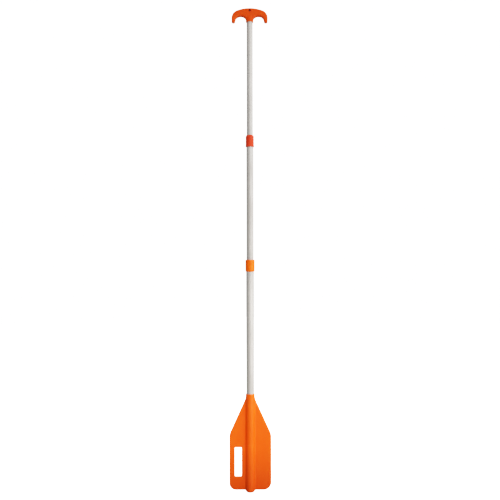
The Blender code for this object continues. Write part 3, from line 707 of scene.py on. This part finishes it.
CAMERA_DISTANCE = 2.30
CAMERA_HEIGHT = -0.905
CAMERA_LENS = 43.68
CAMERA_ROLL = -0.1
BACKGROUND_LIGHT = 1.9
DIM_SIDE = -0.95
DIM_LIGHT = 0.4
BRIGHT_SIDE = -0.1
BRIGHT_LIGHT = 1.36
FLOOR_RADIUS = 6.0
FLOOR_SIDES = 64
FLOOR_GAP = 0.5 * MM
FLOOR_SEEN_LIGHT = 1.4
FLOOR_PALE = (0.9, 0.9, 0.9, 1)
FLOOR_LESS_PALE = (0.87, 0.87, 0.87, 1)
FLOOR_UNSEEN = (0.38, 0.38, 0.38, 1)


def aim(thing, target, roll=0.0):
    """Turn a camera or a light towards a point."""
    direction = Vector(target) - thing.location
    turn = direction.to_track_quat("-Z", "Y").to_euler()
    thing.rotation_euler = turn
    thing.rotation_euler.rotate_axis("Z", math.radians(roll))


def make_camera():
    data = bpy.data.cameras.new("camera")
    data.lens = CAMERA_LENS
    data.sensor_width = 36
    data.clip_start = 0.05
    data.clip_end = 60
    camera = bpy.data.objects.new("camera", data)
    bpy.context.scene.collection.objects.link(camera)
    camera.location = (0, -CAMERA_DISTANCE, CAMERA_HEIGHT)
    aim(camera, (0, 0, CAMERA_HEIGHT), CAMERA_ROLL)
    bpy.context.scene.camera = camera


def add_softbox(name, place, target, width, height, power):
    data = bpy.data.lights.new(name, "AREA")
    data.shape = "RECTANGLE"
    data.size = width
    data.size_y = height
    data.energy = power
    light = bpy.data.objects.new(name, data)
    bpy.context.scene.collection.objects.link(light)
    light.location = place
    aim(light, target)


def add_spot(name, place, target, cone, power, tint):
    data = bpy.data.lights.new(name, "SPOT")
    data.spot_size = math.radians(cone)
    data.spot_blend = 1.0
    data.shadow_soft_size = 0.35
    data.energy = power
    data.color = tint
    light = bpy.data.objects.new(name, data)
    bpy.context.scene.collection.objects.link(light)
    light.location = place
    aim(light, target)


def add_lights():
    """A key from the right, a warm fill on the middle, and a panel behind that the camera can't see."""
    add_softbox("key", (2.0, -1.6, -1.0), (0, 0, -1.1), 2.6, 2.4, 56)
    add_softbox("back", (0.0, 2.3, 0.6), (0, 0, -1.0), 0.9, 1.8, 46)
    bpy.data.objects["back"].visible_camera = False
    add_spot("fill", (1.4, -1.85, -1.0), (0, 0, -1.33), 32, 84, (1.0, 0.94, 0.86))


def make_world():
    """A white room, whose light is weaker from the left."""
    world = bpy.data.worlds.new("studio")
    bpy.context.scene.world = world
    world.use_nodes = True
    tree = world.node_tree
    place = tree.nodes.new("ShaderNodeTexCoord")
    parts = tree.nodes.new("ShaderNodeSeparateXYZ")
    side = tree.nodes.new("ShaderNodeMapRange")
    seen = tree.nodes.new("ShaderNodeLightPath")
    pick = tree.nodes.new("ShaderNodeMix")
    pick.data_type = "FLOAT"
    background = tree.nodes["Background"]
    tree.links.new(place.outputs["Generated"], parts.inputs[0])
    tree.links.new(parts.outputs["X"], side.inputs["Value"])
    side.interpolation_type = "SMOOTHSTEP"
    side.inputs["From Min"].default_value = DIM_SIDE
    side.inputs["From Max"].default_value = BRIGHT_SIDE
    side.inputs["To Min"].default_value = DIM_LIGHT
    side.inputs["To Max"].default_value = BRIGHT_LIGHT
    tree.links.new(seen.outputs["Is Camera Ray"], pick.inputs[0])
    tree.links.new(side.outputs[0], pick.inputs[2])
    pick.inputs[3].default_value = BACKGROUND_LIGHT
    tree.links.new(pick.outputs[0], background.inputs["Strength"])
    background.inputs["Color"].default_value = (1, 1, 1, 1)


def make_floor():
    """A pale round floor just under the blade's tip. It gives back less light than the camera sees."""
    angles = [math.tau * side / FLOOR_SIDES for side in range(FLOOR_SIDES)]
    height = TIP - FLOOR_GAP
    points = [(FLOOR_RADIUS * math.cos(angle), FLOOR_RADIUS * math.sin(angle), height) for angle in angles]
    mesh = bpy.data.meshes.new("floor")
    mesh.from_pydata(points, [], [list(range(FLOOR_SIDES))])
    s = Shader("pale floor")
    grain = s.noise(s.place, 3.0, 2.0, 0.5)
    seen = s.add("ShaderNodeLightPath").outputs["Is Camera Ray"]
    tint = s.mix(s.ramp(grain, 0.3, 0.7), FLOOR_PALE, FLOOR_LESS_PALE)
    tint = s.mix(seen, FLOOR_UNSEEN, tint)
    s.set(Base_Color=tint, Roughness=0.8, Emission_Color=(1, 1, 1, 1))
    s.set(Emission_Strength=s.maths("MULTIPLY", seen, FLOOR_SEEN_LIGHT))
    mesh.materials.append(s.material)
    floor = bpy.data.objects.new("floor", mesh)
    bpy.context.scene.collection.objects.link(floor)


RESPONSE_TOP = 1.15
RESPONSE_POWER = 1.7
RESPONSE_MIDDLE = 0.4375
RESPONSE_POINTS = 20


def response(light):
    """How bright a light shows: shadows darker, and highlights that level off, as in a photograph."""
    raised = light ** RESPONSE_POWER
    return RESPONSE_TOP * raised / (raised + RESPONSE_MIDDLE)


def set_response():
    """The camera's response, as a curve from black to the light that shows as white."""
    settings = bpy.context.scene.view_settings
    settings.view_transform = "Standard"
    settings.look = "None"
    white = (RESPONSE_MIDDLE / (RESPONSE_TOP - 1)) ** (1 / RESPONSE_POWER)
    settings.use_curve_mapping = True
    mapping = settings.curve_mapping
    mapping.white_level = (white, white, white)
    for step in range(1, RESPONSE_POINTS):
        share = (step / RESPONSE_POINTS) ** 2
        mapping.curves[3].points.new(share, response(share * white))
    mapping.update()


def write_sizes():
    """Bring the scene up to date after the pieces are made."""
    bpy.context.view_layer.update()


def main():
    set_response()
    make_camera()
    make_world()
    make_floor()
    add_lights()
    handle = orange_moulding("handle plastic", HANDLE_COLOURS, HANDLE_IOR, hole_shade=HOLE_PAINTED_SHADE)
    blade = orange_moulding("blade plastic", BLADE_COLOURS, BLADE_IOR, foot_shade=BLADE_FOOT_SHADE)
    red = orange_moulding("upper collar plastic", UPPER_COLLAR_COLOURS, UPPER_COLLAR_IOR)
    light = orange_moulding("lower collar plastic", LOWER_COLLAR_COLOURS, LOWER_COLLAR_IOR)
    metal = drawn_aluminium()
    steel = brushed_steel()
    make_handle(handle)
    make_blade(blade)
    make_tube("upper_tube", UPPER_TUBE_R, "grip_section", metal)
    make_tube("middle_tube", MIDDLE_TUBE_R, "middle_section", metal, "upper_collar")
    make_tube("lower_tube", LOWER_TUBE_R, "blade_section", metal, "lower_collar")
    make_collar("upper_collar", "middle_section", "collar_red", red,
                collar_r=15.1 * MM, inner_r=UPPER_TUBE_R, outer_r=MIDDLE_TUBE_R,
                top_round=8 * MM, foot_round=1 * MM, band=0.5 * MM)
    make_collar("lower_collar", "blade_section", "collar_orange", light,
                collar_r=17 * MM, inner_r=MIDDLE_TUBE_R, outer_r=LOWER_TUBE_R,
                top_round=2.5 * MM, foot_round=5.5 * MM, band=0)
    make_rivet("handle_rivet", HANDLE_RIVET_Z, "grip_section", steel)
    make_rivet("blade_rivet", BLADE_RIVET_Z, "blade_section", steel)
    dress_inner_parts(
        moulded_resin("acetal", colour(232, 232, 229), colour(222, 221, 216), 0.42, 0.52),
        moulded_resin("black nylon", colour(44, 44, 46), colour(34, 34, 36), 0.45, 0.58),
        closed_cell_foam(),
        steel,
    )
    write_sizes()


main()
